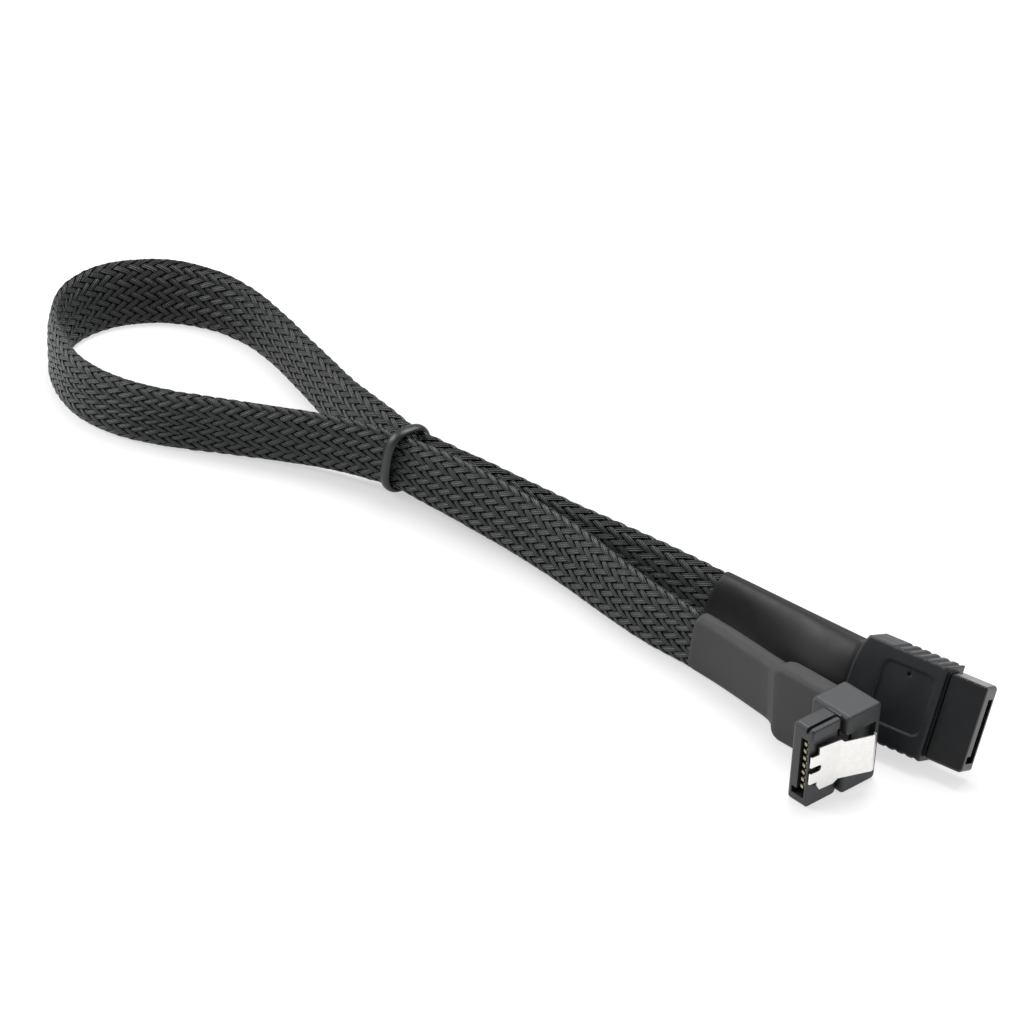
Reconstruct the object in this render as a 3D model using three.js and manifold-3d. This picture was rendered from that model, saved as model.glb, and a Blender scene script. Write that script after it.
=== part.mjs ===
// Sleeved data cable: a flat cable in a braided sleeve, looped back on itself and held by a
// rubber ring. One end has a straight seven-contact plug, the other an angled one with a
// sprung steel latch. Millimetres, +Z up, the table at Z = 0, the loop towards -X.
import * as THREE from 'three';
import { mergeVertices } from 'three/addons/utils/BufferGeometryUtils.js';
import Module from 'manifold-3d';

const wasm = await Module();
wasm.setup();

// Clearance between pieces that touch
const CLEAR = 0.3;

// Origin, measured from the angled plug's contact row
const ORIGIN_X = -15.92;
const ORIGIN_Y = 15.67;

// Nose shared by both plugs
const CONTACT_COUNT = 7;
const CONTACT_PITCH = 1.27;
const CONTACT_WIDTH = 0.84;
const CONTACT_THICK = 0.25;
const CONTACT_CREST = 0.45;
const CONTACT_SETBACK = 0.5;
const SLOT_WIDTH = 1.5;
const SLOT_DEPTH = 5.2;
const SLOT_PLAIN_MARGIN = 0.9;
const SLOT_KEY_MARGIN = 1.88;
const KEY_REACH = 1.05;
const KEY_HEIGHT = 1.2;
const SLOT_WALL = 0.75;
const KEY_WALL = 0.7;
const NOSE_WALL_LOW = 1.45;
const NOSE_WALL_HIGH = 2.05;
const NOSE_LENGTH = 6.5;
const NOSE_CHAMFER = 0.35;
const NOSE_ROUND = 0.6;
const SPIGOT_LENGTH = 2.4;
const SPIGOT_INSET = 1.2;

// Straight plug
const STRAIGHT_X = 11.97;
const STRAIGHT_Y = 22.06;
const STRAIGHT_YAW = 11.4;
const STRAIGHT_LEAN = 23.7;
const GRIP_LENGTH = 16.1;
const GRIP_PROUD_FRONT = 0.85;
const GRIP_PROUD_BACK = 1.6;
const GRIP_PROUD_EDGE = 0.7;
const GRIP_BEVEL = 0.35;
const GRIP_REAR_BOW = 2.0;
const RIB_COUNT = 6;
const RIB_PITCH = 1.66;
const RIB_SCALLOP = 0.55;
const RIB_DEPTH = 0.28;
const RIB_START = 0.9;
const PANEL_LENGTH = 9.3;
const PANEL_HEIGHT = 9.8;
const PANEL_RADIUS = 1.5;
const PANEL_DEPTH = 0.3;
const PANEL_START = 1.3;
const PANEL_RAISE = 0.5;
const GATE_RADIUS = 0.35;
const GATE_DEPTH = 0.5;

// Angled plug
const BLOCK_LENGTH = 7.4;
const BLOCK_PROUD_CABLE = 2.9;
const BLOCK_PROUD_LATCH = 0.7;
const BLOCK_BEVEL = 0.4;
const BLOCK_ROUND = 0.7;
const LATCH_THICK = 0.3;
const LATCH_HEIGHT = 7.05;
const LATCH_REACH = 11.2;
const LATCH_RISE = 0.4;
const LATCH_LIFT = 1.85;
const LATCH_CURL = 0.6;
const LATCH_BEND = 5.8;
const LATCH_STEP = 0.5;
const PRONG_HEIGHT = 1.9;
const PRONG_GAP = 1.1;
const PRONG_LENGTH = 2.1;
const SHOULDER_EXTRA = 0.55;
const POCKET_DEPTH = 0.35;
const BLOCK_POCKET_DEPTH = 1.2;
const GROOVE_WIDTH = 0.6;
const GROOVE_DEPTH = 0.9;
const RIDGE_NOTCH = 0.7;

// Cable, heat shrink and ring
const SLEEVE_WIDTH = 10.6;
const SLEEVE_THICK = 3.0;
const SLEEVE_STEPS = 66;
const SHRINK_WALL = 0.1;
const SHRINK_STEPS = 8;
const SHRINK_END_RISE = 1.5;
const SHRINK_BACK_RISE = 0.8;
const STEM_LENGTH = 9.9;
const STEM_THICK = 4.2;
const STEM_INSET = 0.2;
const STEM_ROUND = 1.3;
const STEM_OFFSET = 0.5;
const RING_WIRE = 1.0;
const RING_WIDTH = 2.2;
const RING_SLACK = 0.3;
const RING_AT_X = -106.85;
const RING_AT_Y = 12.5;
const RING_TURN = -2;
const RUN_SPACING = 4.35;

// Route of the cable's lower edge on the table: x, y, lift, lean to the left in degrees
const ROUTE = [
  [-37.9, 13.8, 0.0, 1],
  [-47.3, 13.1, 0.0, -4],
  [-56.8, 13.4, 0.0, -7],
  [-66.4, 14.1, 0.03, -9],
  [-76.0, 14.3, 0.16, -8],
  [-85.6, 13.7, 0.51, -7],
  [-95.1, 12.6, 1.02, -5],
  [-104.5, 11.4, 1.24, 0],
  [-113.6, 9.2, 1.24, 4],
  [-122.4, 5.7, 0.75, 6],
  [-130.7, 0.7, 0.3, 5],
  [-138.6, -5.0, 0.1, 3],
  [-146.2, -10.6, 0.02, 0],
  [-154.6, -14.8, 0.0, -3],
  [-164.0, -16.0, 0.0, -4],
  [-173.5, -13.5, 0.0, -3],
  [-181.6, -8.4, 0.0, 2],
  [-186.9, -0.8, 0.0, 10],
  [-187.7, 8.5, 0.0, 19],
  [-183.5, 16.9, 0.0, 18],
  [-175.6, 22.4, 0.0, 9],
  [-166.4, 24.2, 0.0, 4],
  [-156.9, 23.3, 0.0, 2],
  [-147.4, 21.2, 0.01, 3],
  [-137.9, 18.8, 0.09, 5],
  [-128.5, 16.45, 0.4, 5],
  [-119.0, 14.9, 1.0, 4],
  [-109.6, 14.5, 1.26, 0],
  [-100.3, 15.1, 1.2, 1],
  [-90.9, 16.6, 0.79, 5],
  [-81.5, 17.9, 0.33, 8],
  [-72.1, 19.4, 0.09, 8],
  [-62.6, 20.8, 0.01, 9.5],
  [-53.1, 22.0, 0.0, 11],
  [-43.7, 23.0, 0.0, 10],
];

// Sizes worked out from the ones above
const SLOT_LENGTH = (CONTACT_COUNT - 1) * CONTACT_PITCH + SLOT_PLAIN_MARGIN + SLOT_KEY_MARGIN;
const NOSE_HEIGHT = SLOT_LENGTH + NOSE_WALL_LOW + NOSE_WALL_HIGH;
const NOSE_THICK = KEY_WALL + KEY_REACH + SLOT_WIDTH + SLOT_WALL;
const SLOT_LOW = KEY_WALL + KEY_REACH;
const SLOT_HIGH = SLOT_LOW + SLOT_WIDTH;
const SPIGOT_HEIGHT = NOSE_HEIGHT - 2 * SPIGOT_INSET;
const SPIGOT_THICK = NOSE_THICK - 1.2 * SPIGOT_INSET;
const BODY_START = NOSE_LENGTH + CLEAR;

const MATERIALS = {
  braid: new THREE.MeshStandardMaterial({ color: 0x26272a, roughness: 0.62, metalness: 0 }),
  shrink: new THREE.MeshStandardMaterial({ color: 0x3c3c3c, roughness: 0.75, metalness: 0 }),
  rubber: new THREE.MeshStandardMaterial({ color: 0x1d1f20, roughness: 0.6, metalness: 0 }),
  overmould: new THREE.MeshStandardMaterial({ color: 0x34383b, roughness: 0.55, metalness: 0 }),
  insulator: new THREE.MeshStandardMaterial({ color: 0x3a3d40, roughness: 0.5, metalness: 0 }),
  steel: new THREE.MeshStandardMaterial({ color: 0xe8e6e2, roughness: 0.25, metalness: 1 }),
  gold: new THREE.MeshStandardMaterial({ color: 0xd8b46a, roughness: 0.3, metalness: 1 }),
};

const cable = new THREE.Group();
cable.position.set(-ORIGIN_X, -ORIGIN_Y, 0);

// Solid geometry helpers
function toSolid(geometry) {
  const bare = geometry.clone();
  bare.deleteAttribute('normal');
  bare.deleteAttribute('uv');
  const merged = mergeVertices(bare, 1e-4);
  return new wasm.Manifold(new wasm.Mesh({
    numProp: 3,
    vertProperties: new Float32Array(merged.attributes.position.array),
    triVerts: new Uint32Array(merged.index.array),
  }));
}

function toGeometry(solid) {
  const mesh = solid.getMesh();
  const geometry = new THREE.BufferGeometry();
  geometry.setAttribute('position', new THREE.BufferAttribute(mesh.vertProperties, 3));
  geometry.setIndex(new THREE.BufferAttribute(mesh.triVerts, 1));
  geometry.computeVertexNormals();
  return geometry;
}

function box(x0, x1, y0, y1, z0, z1) {
  const geometry = new THREE.BoxGeometry(x1 - x0, y1 - y0, z1 - z0);
  geometry.translate((x0 + x1) / 2, (y0 + y1) / 2, (z0 + z1) / 2);
  return geometry;
}

function cut(base, tools) {
  let solid = toSolid(base);
  for (const tool of tools) {
    solid = solid.subtract(toSolid(tool));
  }
  return toGeometry(solid);
}

function join(pieces) {
  let solid = toSolid(pieces[0]);
  for (const piece of pieces.slice(1)) {
    solid = solid.add(toSolid(piece));
  }
  return toGeometry(solid);
}

function addPiece(parent, name, geometry, material) {
  const mesh = new THREE.Mesh(geometry, material);
  mesh.name = name;
  parent.add(mesh);
  return mesh;
}

function roundedRect(x0, x1, y0, y1, radius) {
  const shape = new THREE.Shape();
  shape.moveTo(x0 + radius, y0);
  shape.lineTo(x1 - radius, y0);
  shape.absarc(x1 - radius, y0 + radius, radius, -Math.PI / 2, 0);
  shape.lineTo(x1, y1 - radius);
  shape.absarc(x1 - radius, y1 - radius, radius, 0, Math.PI / 2);
  shape.lineTo(x0 + radius, y1);
  shape.absarc(x0 + radius, y1 - radius, radius, Math.PI / 2, Math.PI);
  shape.lineTo(x0, y0 + radius);
  shape.absarc(x0 + radius, y0 + radius, radius, Math.PI, 1.5 * Math.PI);
  return shape;
}

// A shape drawn in X and Z, extruded from y0 to y1
function slab(shape, y0, y1, bevel = 0, curveSegments = 5) {
  const geometry = new THREE.ExtrudeGeometry(shape, {
    depth: y1 - y0 - 2 * bevel,
    bevelEnabled: bevel > 0,
    bevelThickness: bevel,
    bevelSize: bevel,
    bevelOffset: -bevel,
    bevelSegments: 2,
    curveSegments,
  });
  geometry.rotateX(Math.PI / 2);
  geometry.translate(0, y1 - bevel, 0);
  return geometry;
}

// Path of a flat strip between a lower and an upper rail, which set its height direction
class StripPath extends THREE.Curve {
  constructor(lower, upper) {
    super();
    this.lower = lower;
    this.upper = upper;
  }

  getPoint(t, target = new THREE.Vector3()) {
    return target.copy(this.lower.getPoint(t)).add(this.upper.getPoint(t)).multiplyScalar(0.5);
  }

  computeFrenetFrames(segments) {
    const tangents = [];
    const normals = [];
    const binormals = [];
    for (let i = 0; i <= segments; i++) {
      const t = this.getUtoTmapping(i / segments);
      const tangent = this.getTangent(t);
      const height = this.upper.getPoint(t).sub(this.lower.getPoint(t));
      height.addScaledVector(tangent, -height.dot(tangent)).normalize();
      tangents.push(tangent);
      binormals.push(height);
      normals.push(new THREE.Vector3().crossVectors(height, tangent));
    }
    return { tangents, normals, binormals };
  }
}

// Section of a flat cord: two half rounds joined by flats
function stripSection(width, thick) {
  const radius = thick / 2;
  const flat = width / 2 - radius;
  const shape = new THREE.Shape();
  const sides = 5;
  for (let i = 0; i <= sides; i++) {
    const angle = (Math.PI * i) / sides;
    const x = radius * Math.cos(angle);
    const y = flat + radius * Math.sin(angle);
    if (i === 0) shape.moveTo(x, y);
    else shape.lineTo(x, y);
  }
  for (let i = 0; i <= sides; i++) {
    const angle = Math.PI + (Math.PI * i) / sides;
    shape.lineTo(radius * Math.cos(angle), -flat + radius * Math.sin(angle));
  }
  shape.closePath();
  return shape;
}

function sweepStrip(path, width, thick, steps) {
  return new THREE.ExtrudeGeometry(stripSection(width, thick), {
    steps,
    extrudePath: path,
    bevelEnabled: false,
  });
}

// Nose with its L-shaped slot: mating face at X = 0, the nose towards -X, the slot's long
// side along Z and its key at the low end
function makeNose() {
  const outline = roundedRect(-NOSE_LENGTH, 0, 0, NOSE_HEIGHT, NOSE_ROUND);
  const shell = slab(outline, 0, NOSE_THICK, NOSE_CHAMFER, 2);
  const spigot = box(
    -NOSE_LENGTH - SPIGOT_LENGTH, -NOSE_LENGTH + 1,
    (NOSE_THICK - SPIGOT_THICK) / 2, (NOSE_THICK + SPIGOT_THICK) / 2,
    SPIGOT_INSET, SPIGOT_INSET + SPIGOT_HEIGHT,
  );
  const slot = box(-SLOT_DEPTH, 1, SLOT_LOW, SLOT_HIGH, NOSE_WALL_LOW, NOSE_WALL_LOW + SLOT_LENGTH);
  const key = box(-SLOT_DEPTH, 1, KEY_WALL, SLOT_LOW + 0.1, NOSE_WALL_LOW, NOSE_WALL_LOW + KEY_HEIGHT);
  return cut(join([shell, spigot]), [slot, key]);
}

// Pocket that takes the nose's spigot, cut into a plug's body
function spigotPocket() {
  return box(
    -NOSE_LENGTH - SPIGOT_LENGTH - CLEAR, 0,
    (NOSE_THICK - SPIGOT_THICK) / 2 - CLEAR, (NOSE_THICK + SPIGOT_THICK) / 2 + CLEAR,
    SPIGOT_INSET - CLEAR, SPIGOT_INSET + SPIGOT_HEIGHT + CLEAR,
  );
}

// Spring contact: a bent strip along the slot's plain wall, with its crest near the mouth
function makeContact() {
  const wall = SLOT_HIGH - CLEAR;
  const back = -SLOT_DEPTH + CLEAR;
  const front = -CONTACT_SETBACK;
  const crest = front - 0.25 * (front - back);
  const shape = new THREE.Shape();
  shape.moveTo(back, wall);
  shape.lineTo(back, wall - CONTACT_THICK);
  shape.lineTo(back + 1, wall - CONTACT_THICK);
  shape.lineTo(crest, wall - CONTACT_CREST);
  shape.lineTo(front, wall - CONTACT_THICK);
  shape.lineTo(front, wall);
  shape.lineTo(crest, wall - CONTACT_CREST + CONTACT_THICK);
  shape.lineTo(back + 1, wall);
  shape.closePath();
  const geometry = new THREE.ExtrudeGeometry(shape, { depth: CONTACT_WIDTH, bevelEnabled: false });
  geometry.translate(0, 0, -CONTACT_WIDTH / 2);
  return geometry;
}

function addContacts(parent, prefix) {
  const first = NOSE_WALL_LOW + SLOT_KEY_MARGIN;
  for (let i = 0; i < CONTACT_COUNT; i++) {
    const contact = addPiece(parent, `${prefix}_contact_${i + 1}`, makeContact(), MATERIALS.gold);
    contact.position.z = first + i * CONTACT_PITCH;
  }
}

// Straight plug, leaning back on its lower edge
const straightYaw = new THREE.Group();
const lean = THREE.MathUtils.degToRad(STRAIGHT_LEAN);
const restHeight = GRIP_PROUD_EDGE * Math.cos(lean) + (NOSE_THICK + GRIP_PROUD_BACK) * Math.sin(lean);
straightYaw.position.set(STRAIGHT_X, STRAIGHT_Y, restHeight - 0.3 * GRIP_BEVEL);
straightYaw.rotation.z = THREE.MathUtils.degToRad(STRAIGHT_YAW);
cable.add(straightYaw);
const straight = new THREE.Group();
straight.rotation.x = -lean;
straightYaw.add(straight);

function gripOutline(front, rear, low, high) {
  const corner = rear + GRIP_REAR_BOW;
  const shape = new THREE.Shape();
  shape.moveTo(front, low);
  shape.lineTo(front, high);
  shape.lineTo(corner, high);
  shape.bezierCurveTo(rear, high - 2.5, rear, low + 2.5, corner, low);
  shape.closePath();
  return shape;
}

function makeGrip() {
  const near = -GRIP_PROUD_FRONT;
  const far = NOSE_THICK + GRIP_PROUD_BACK;
  const low = -GRIP_PROUD_EDGE;
  const high = NOSE_HEIGHT + GRIP_PROUD_EDGE;
  const grooves = [];
  for (let i = 0; i < RIB_COUNT; i++) {
    const x = -BODY_START - RIB_START - i * RIB_PITCH;
    const offset = RIB_SCALLOP - RIB_DEPTH;
    for (const centre of [low - offset, high + offset]) {
      const groove = new THREE.CylinderGeometry(RIB_SCALLOP, RIB_SCALLOP, far - near + 2, 12);
      groove.translate(x, (near + far) / 2, centre);
      grooves.push(groove);
    }
  }
  const panelFront = -BODY_START - PANEL_START;
  const panelLow = (NOSE_HEIGHT - PANEL_HEIGHT) / 2 + PANEL_RAISE;
  const panel = roundedRect(
    panelFront - PANEL_LENGTH, panelFront, panelLow, panelLow + PANEL_HEIGHT, PANEL_RADIUS,
  );
  const gate = new THREE.CylinderGeometry(GATE_RADIUS, GATE_RADIUS, 2 * GATE_DEPTH, 12);
  gate.translate(panelFront - PANEL_LENGTH / 2, near + PANEL_DEPTH, panelLow + PANEL_HEIGHT - 1);
  const outline = gripOutline(-BODY_START, -BODY_START - GRIP_LENGTH, low, high);
  return cut(slab(outline, near, far, GRIP_BEVEL, 8), [
    slab(panel, near - 1, near + PANEL_DEPTH, 0, 4),
    gate,
    spigotPocket(),
    ...grooves,
  ]);
}

addPiece(straight, 'straight_plug_grip', makeGrip(), MATERIALS.overmould);
addPiece(straight, 'straight_plug_nose', makeNose(), MATERIALS.insulator);
addContacts(straight, 'straight');

// Angled plug: its own X axis is the mating direction, which is -Y on the whole part
const angled = new THREE.Group();
angled.position.x = CONTACT_THICK / 2 - (SLOT_HIGH - CLEAR);
angled.rotation.z = -Math.PI / 2;
cable.add(angled);

const LATCH_MIDDLE = NOSE_HEIGHT / 2;
const LATCH_SEAT = NOSE_THICK - POCKET_DEPTH + CLEAR + LATCH_THICK / 2;
const LATCH_LOW = LATCH_MIDDLE - LATCH_HEIGHT / 2;
const LATCH_HIGH = LATCH_MIDDLE + LATCH_HEIGHT / 2;
const POCKET_HIGH = LATCH_HIGH + 2.5 * SHOULDER_EXTRA + CLEAR;

function makeAngledNose() {
  const face = NOSE_THICK;
  const ridge = face - GROOVE_WIDTH - POCKET_DEPTH - 0.45;
  return cut(makeNose(), [
    box(-NOSE_LENGTH - 1, 1, face - POCKET_DEPTH, face + 1, -1, POCKET_HIGH),
    box(-NOSE_LENGTH - 1, 1, ridge, ridge + GROOVE_WIDTH, NOSE_HEIGHT - GROOVE_DEPTH, NOSE_HEIGHT + 1),
    box(-NOSE_LENGTH - 1, -NOSE_LENGTH + RIDGE_NOTCH, ridge, face + 1, LATCH_HIGH, NOSE_HEIGHT + 1),
  ]);
}

function makeBlock() {
  const near = -BLOCK_PROUD_CABLE;
  const far = NOSE_THICK + BLOCK_PROUD_LATCH;
  const rear = -BODY_START - BLOCK_LENGTH;
  const outline = roundedRect(rear, -BODY_START, 0, NOSE_HEIGHT, BLOCK_ROUND);
  return cut(slab(outline, near, far, BLOCK_BEVEL, 2), [
    spigotPocket(),
    box(
      rear + 1, 0,
      far - BLOCK_POCKET_DEPTH, far + 1,
      LATCH_LOW - CLEAR, LATCH_HIGH + CLEAR,
    ),
  ]);
}

// Latch: the side profile of the bent leaf, trimmed to the outline of its fork
function makeLatch() {
  const half = LATCH_THICK / 2;
  const line = [
    [0, LATCH_SEAT],
    [-LATCH_BEND, LATCH_SEAT + LATCH_RISE],
    [-LATCH_REACH, LATCH_SEAT + LATCH_RISE + LATCH_LIFT],
    [-LATCH_REACH - 0.7 * LATCH_CURL, LATCH_SEAT + LATCH_RISE + LATCH_LIFT - 0.25 * LATCH_CURL],
    [-LATCH_REACH - LATCH_CURL, LATCH_SEAT + LATCH_RISE + LATCH_LIFT - LATCH_CURL],
  ];
  const profile = new THREE.Shape();
  line.forEach(([x, y], i) => {
    if (i === 0) profile.moveTo(x, y + half);
    else profile.lineTo(x - (i > 2 ? half : 0), y + (i > 3 ? 0 : half));
  });
  line.reverse().forEach(([x, y], i) => {
    profile.lineTo(x + (i < 2 ? half : 0), y - (i < 1 ? 0 : half));
  });
  profile.closePath();
  const leaf = new THREE.ExtrudeGeometry(profile, { depth: NOSE_HEIGHT, bevelEnabled: false });

  const prong = PRONG_GAP / 2 + PRONG_HEIGHT;
  const shoulder = 0.7 * PRONG_LENGTH;
  const outline = new THREE.Shape();
  outline.moveTo(1, LATCH_MIDDLE - prong);
  outline.lineTo(-shoulder, LATCH_MIDDLE - prong);
  outline.lineTo(-shoulder, LATCH_LOW + 0.4);
  outline.lineTo(-PRONG_LENGTH, LATCH_LOW - SHOULDER_EXTRA);
  outline.lineTo(-LATCH_BEND + 1, LATCH_LOW - SHOULDER_EXTRA);
  outline.lineTo(-LATCH_BEND, LATCH_LOW);
  outline.lineTo(-LATCH_REACH - 5, LATCH_LOW);
  outline.lineTo(-LATCH_REACH - 5, LATCH_HIGH - LATCH_STEP);
  outline.lineTo(-LATCH_BEND - LATCH_STEP, LATCH_HIGH - LATCH_STEP);
  outline.lineTo(-LATCH_BEND, LATCH_HIGH);
  outline.lineTo(-shoulder, LATCH_HIGH + 0.2);
  outline.lineTo(-shoulder, LATCH_MIDDLE + prong);
  outline.lineTo(1, LATCH_MIDDLE + prong);
  outline.lineTo(1, LATCH_MIDDLE + PRONG_GAP / 2);
  outline.absarc(-PRONG_LENGTH + PRONG_GAP / 2, LATCH_MIDDLE, PRONG_GAP / 2, Math.PI / 2, 1.5 * Math.PI);
  outline.lineTo(1, LATCH_MIDDLE - PRONG_GAP / 2);
  outline.closePath();
  const blank = slab(outline, 0, 4 * NOSE_THICK, 0, 4);
  return toGeometry(toSolid(leaf).intersect(toSolid(blank)));
}

addPiece(angled, 'angled_plug_body', makeBlock(), MATERIALS.overmould);
addPiece(angled, 'angled_plug_nose', makeAngledNose(), MATERIALS.insulator);
addContacts(angled, 'angled');
addPiece(angled, 'latch_clip', makeLatch(), MATERIALS.steel);

// Route rails at the centres of the strip's rounded edges, a strip's half thickness inside
const RAIL_SPAN = SLEEVE_WIDTH - SLEEVE_THICK;

function routeRails() {
  const lower = [];
  const upper = [];
  ROUTE.forEach(([x, y, lift, lean], i) => {
    const before = ROUTE[Math.max(i - 1, 0)];
    const after = ROUTE[Math.min(i + 1, ROUTE.length - 1)];
    const heading = Math.atan2(after[1] - before[1], after[0] - before[0]);
    const tilt = THREE.MathUtils.degToRad(lean);
    const foot = new THREE.Vector3(x, y, SLEEVE_THICK / 2 + lift);
    lower.push(foot);
    upper.push(new THREE.Vector3(
      x - RAIL_SPAN * Math.sin(tilt) * Math.sin(heading),
      y + RAIL_SPAN * Math.sin(tilt) * Math.cos(heading),
      foot.z + RAIL_SPAN * Math.cos(tilt),
    ));
  });
  return { lower, upper };
}

const rails = routeRails();
const sleevePath = new StripPath(
  new THREE.CatmullRomCurve3(rails.lower),
  new THREE.CatmullRomCurve3(rails.upper),
);
sleevePath.arcLengthDivisions = 600;
addPiece(
  cable, 'braided_sleeve',
  sweepStrip(sleevePath, SLEEVE_WIDTH, SLEEVE_THICK, SLEEVE_STEPS), MATERIALS.braid,
);

// Heat shrink: a flat strip from the sleeve's end to a plug, a little larger than the sleeve
const SHRINK_WIDTH = SLEEVE_WIDTH + 2 * SHRINK_WALL;
const SHRINK_THICK = SLEEVE_THICK + 2 * SHRINK_WALL;
const SHRINK_SPAN = SHRINK_WIDTH - SHRINK_THICK;

function easedRail(start, startWay, end, endWay) {
  const reach = start.distanceTo(end) / 3;
  return new THREE.CubicBezierCurve3(
    start,
    start.clone().addScaledVector(startWay, reach),
    end.clone().addScaledVector(endWay, -reach),
    end,
  );
}

// From one end of the sleeve, at rail parameter t, towards a plug's foot point and height way
function makeShrinkPath(t, foot, height, plugWay) {
  const sign = t > 0.5 ? 1 : -1;
  const low = sleevePath.lower.getPoint(t);
  const up = sleevePath.upper.getPoint(t).sub(low).normalize();
  const way = sleevePath.getTangent(t).multiplyScalar(sign);
  const start = low.clone().addScaledVector(way, CLEAR);
  start.z += SHRINK_WALL;
  const startTop = start.clone().addScaledVector(up, SHRINK_SPAN);
  const footTop = foot.clone().addScaledVector(height, SHRINK_SPAN);
  return new StripPath(
    easedRail(start, way, foot, plugWay),
    easedRail(startTop, way, footTop, plugWay),
  );
}

cable.updateMatrixWorld(true);
const toCable = cable.matrixWorld.clone().invert();

// A point and a direction of a plug's own frame, in the cable's frame
function plugPoint(plug, x, y, z) {
  return new THREE.Vector3(x, y, z).applyMatrix4(plug.matrixWorld).applyMatrix4(toCable);
}

function plugWay(plug, x, y, z) {
  return new THREE.Vector3(x, y, z).transformDirection(plug.matrixWorld);
}

// Straight plug's heat shrink, centred on the back of the grip
const gripBack = -BODY_START - GRIP_LENGTH - CLEAR;
const straightShrinkPath = makeShrinkPath(
  1,
  plugPoint(straight, gripBack, NOSE_THICK / 2, NOSE_HEIGHT / 2 - SHRINK_SPAN / 2 + SHRINK_BACK_RISE),
  plugWay(straight, 0, 0, 1),
  plugWay(straight, 1, 0, 0),
);
addPiece(
  cable, 'straight_heat_shrink',
  sweepStrip(straightShrinkPath, SHRINK_WIDTH, SHRINK_THICK, SHRINK_STEPS), MATERIALS.shrink,
);

// Angled plug's heat shrink: the flat strip, then the tall stem that it covers at the block
const stemMiddle = -BODY_START - BLOCK_LENGTH / 2 - STEM_OFFSET;
const stemTop = -BLOCK_PROUD_CABLE - CLEAR;
const stemFoot = plugPoint(
  angled, stemMiddle, stemTop - STEM_LENGTH / 2, SHRINK_THICK / 2 + SHRINK_END_RISE,
);
const angledShrinkPath = makeShrinkPath(
  0, stemFoot, new THREE.Vector3(0, 0, 1), new THREE.Vector3(1, 0, 0),
);
const stemLow = plugPoint(angled, stemMiddle, stemTop - STEM_LENGTH, STEM_INSET);
const stemOutline = roundedRect(
  stemLow.x, stemLow.x + STEM_LENGTH, STEM_INSET, NOSE_HEIGHT - STEM_INSET, STEM_ROUND,
);
const stem = slab(stemOutline, stemLow.y - STEM_THICK / 2, stemLow.y + STEM_THICK / 2, 0.9, 4);
addPiece(
  cable, 'angled_heat_shrink',
  join([sweepStrip(angledShrinkPath, SHRINK_WIDTH, SHRINK_THICK, SHRINK_STEPS), stem]),
  MATERIALS.shrink,
);

// Rubber ring round both runs of the cable, its hole clear of the sleeve on every side
const ringThick = RUN_SPACING + SLEEVE_THICK + 2 * RING_SLACK;
const ringHeight = SLEEVE_WIDTH + 2 * RING_SLACK;
const ringHole = roundedRect(-ringThick / 2, ringThick / 2, 0, ringHeight, SLEEVE_THICK / 2);
const ringOutline = roundedRect(
  -ringThick / 2 - RING_WIRE, ringThick / 2 + RING_WIRE,
  -RING_WIRE, ringHeight + RING_WIRE, SLEEVE_THICK / 2 + RING_WIRE,
);
ringOutline.holes.push(ringHole);
const ringGeometry = slab(ringOutline, -RING_WIDTH / 2, RING_WIDTH / 2, RING_WIRE / 3, 5);
ringGeometry.rotateZ(Math.PI / 2);
const ring = addPiece(cable, 'rubber_ring', ringGeometry, MATERIALS.rubber);
ring.position.set(RING_AT_X, RING_AT_Y, RING_WIRE);
ring.rotation.z = THREE.MathUtils.degToRad(RING_TURN);

export default cable;
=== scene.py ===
import math

import bpy
import numpy as np
from mathutils import Matrix, Vector


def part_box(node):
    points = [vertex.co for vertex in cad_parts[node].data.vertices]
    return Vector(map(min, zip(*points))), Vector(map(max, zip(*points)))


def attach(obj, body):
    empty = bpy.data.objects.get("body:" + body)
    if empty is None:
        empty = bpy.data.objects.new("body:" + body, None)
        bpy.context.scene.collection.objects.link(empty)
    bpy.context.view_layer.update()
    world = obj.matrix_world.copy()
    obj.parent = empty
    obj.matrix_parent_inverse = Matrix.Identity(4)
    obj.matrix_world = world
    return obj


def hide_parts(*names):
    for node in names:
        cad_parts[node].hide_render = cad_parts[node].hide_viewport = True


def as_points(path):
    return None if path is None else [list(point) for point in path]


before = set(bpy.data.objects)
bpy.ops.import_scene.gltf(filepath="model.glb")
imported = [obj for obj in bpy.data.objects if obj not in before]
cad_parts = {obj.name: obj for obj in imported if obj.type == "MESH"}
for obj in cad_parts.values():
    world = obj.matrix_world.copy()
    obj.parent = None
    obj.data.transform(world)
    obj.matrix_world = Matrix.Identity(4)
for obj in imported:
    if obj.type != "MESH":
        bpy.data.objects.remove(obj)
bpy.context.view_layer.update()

MM = 0.001
UP = np.array([0.0, 0.0, 1.0])
scene = bpy.context.scene
scene.view_settings.view_transform = "Standard"

# Camera at the photograph's view
CAMERA_AT = (0.29232, -0.33236, 0.29775)
CAMERA_LOOK = (-0.6315, 0.5828, -0.5114)
CAMERA_ROLL = math.radians(2.55)
FOCAL_PIXELS = 3400
PICTURE_PIXELS = 1024
SENSOR_WIDTH = 36


def make_camera():
    look = Vector(CAMERA_LOOK).normalized()
    level = look.cross(Vector((0, 0, 1))).normalized()
    rise = level.cross(look)
    right = level * math.cos(CAMERA_ROLL) + rise * math.sin(CAMERA_ROLL)
    up = rise * math.cos(CAMERA_ROLL) - level * math.sin(CAMERA_ROLL)
    data = bpy.data.cameras.new("camera")
    data.sensor_width = SENSOR_WIDTH
    data.lens = SENSOR_WIDTH * FOCAL_PIXELS / PICTURE_PIXELS
    data.clip_start = 0.01
    camera = bpy.data.objects.new("camera", data)
    scene.collection.objects.link(camera)
    turn = Matrix((right, up, -look)).transposed().to_4x4()
    camera.matrix_world = Matrix.Translation(CAMERA_AT) @ turn
    scene.camera = camera


make_camera()

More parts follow.
